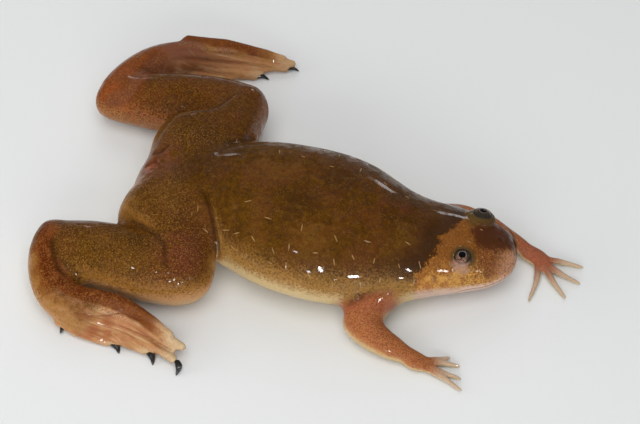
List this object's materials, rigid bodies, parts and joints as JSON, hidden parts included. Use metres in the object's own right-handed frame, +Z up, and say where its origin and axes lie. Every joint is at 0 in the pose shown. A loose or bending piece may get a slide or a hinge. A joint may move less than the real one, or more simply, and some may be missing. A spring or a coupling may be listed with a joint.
{
  "type": "xenopus parafraseri",
  "caption": "Life-size still clawed frog lying flat: broad body, blunt head with upward eyes, thin arms, folded heavy hind legs, webbed clawed feet.",
  "frame": {"origin": "on the floor under the middle of the whole model", "axes": "+X the way the body points, from the vent to the snout; +Y the frog's left; +Z up from the floor"},
  "size_m": [0.058, 0.0459, 0.0103],
  "materials": {
    "skin": "wet olive-brown skin with fine golden and dark speckle, paler below",
    "eye": "glossy bronze iris round a black pupil",
    "claw": "hard glossy black"
  },
  "bodies": {
    "root": {"torso": "skin", "head": "skin", "eye_right": "eye", "eye_left": "eye", "upper_arm_right": "skin", "forearm_right": "skin", "hand_right": "skin", "thigh_right": "skin", "shank_right": "skin", "tarsus_right": "skin", "foot_right": "skin", "claw_right_0": "claw", "claw_right_1": "claw", "claw_right_2": "claw", "claw_right_3": "claw", "upper_arm_left": "skin", "forearm_left": "skin", "hand_left": "skin", "thigh_left": "skin", "shank_left": "skin", "tarsus_left": "skin", "foot_left": "skin", "claw_left_0": "claw", "claw_left_1": "claw", "claw_left_2": "claw", "claw_left_3": "claw"}
  },
  "joints": []
}
